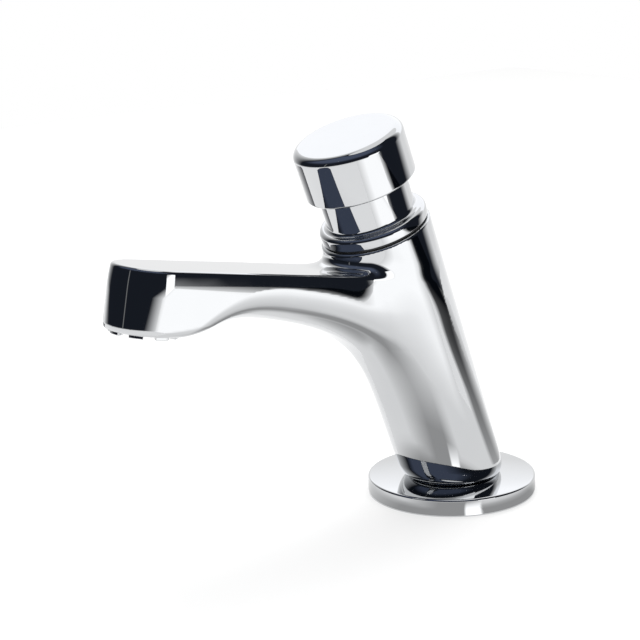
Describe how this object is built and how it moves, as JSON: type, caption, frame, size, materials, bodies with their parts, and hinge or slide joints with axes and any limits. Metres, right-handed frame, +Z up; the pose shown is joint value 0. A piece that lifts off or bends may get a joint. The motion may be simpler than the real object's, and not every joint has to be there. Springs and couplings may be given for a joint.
{
  "type": "push timed tap",
  "caption": "Deck-mounted basin tap with a leaning column, flat-topped arched spout and round push cap that opens a self-closing timing cartridge.",
  "frame": {"origin": "middle of the flange's underside, where the inlet shank passes through the deck's surface", "axes": "+Z up out of the deck, -Y towards the spout's nose, +X to the side"},
  "size_m": [0.06, 0.1686, 0.1886],
  "materials": {
    "chrome": "polished chrome plate",
    "brass": "turned brass",
    "steel": "stainless steel",
    "rubber": "black nitrile rubber",
    "white_plastic": "moulded acetal",
    "cartridge_plastic": "moulded glass-filled plastic"
  },
  "bodies": {
    "tap": {"body_casting": "chrome", "base_flange": "chrome", "base_gasket": "rubber", "inlet_shank": "brass", "inlet_strainer": "steel", "flow_regulator": "white_plastic", "deck_washer": "rubber", "backnut_washer": "steel", "backnut": "brass", "spring_cup": "white_plastic", "return_spring": "steel", "seat_ring": "brass", "seat_oring": "rubber", "cartridge_barrel": "cartridge_plastic", "barrel_oring": "rubber", "gland_bush": "white_plastic", "stem_oring": "rubber", "timing_needle": "steel", "bonnet": "chrome", "bonnet_gasket": "rubber", "aerator_housing": "chrome", "aerator_insert": "white_plastic", "aerator_seal": "rubber"},
    "plunger": {"push_cap": "chrome", "cap_insert": "brass", "push_stem": "steel", "timing_piston": "white_plastic", "piston_cup_seal": "rubber", "piston_circlip": "steel", "poppet": "brass", "poppet_seal": "rubber", "poppet_nut": "brass"}
  },
  "joints": [
    {"name": "push", "type": "slide", "parent": "tap", "child": "plunger", "axis": [0, 0.3387, -0.9409], "range_m": [0, 0.006], "stiffness_N_per_m": 1500, "springref_m": -0.008, "deforming": ["return_spring"]}
  ]
}
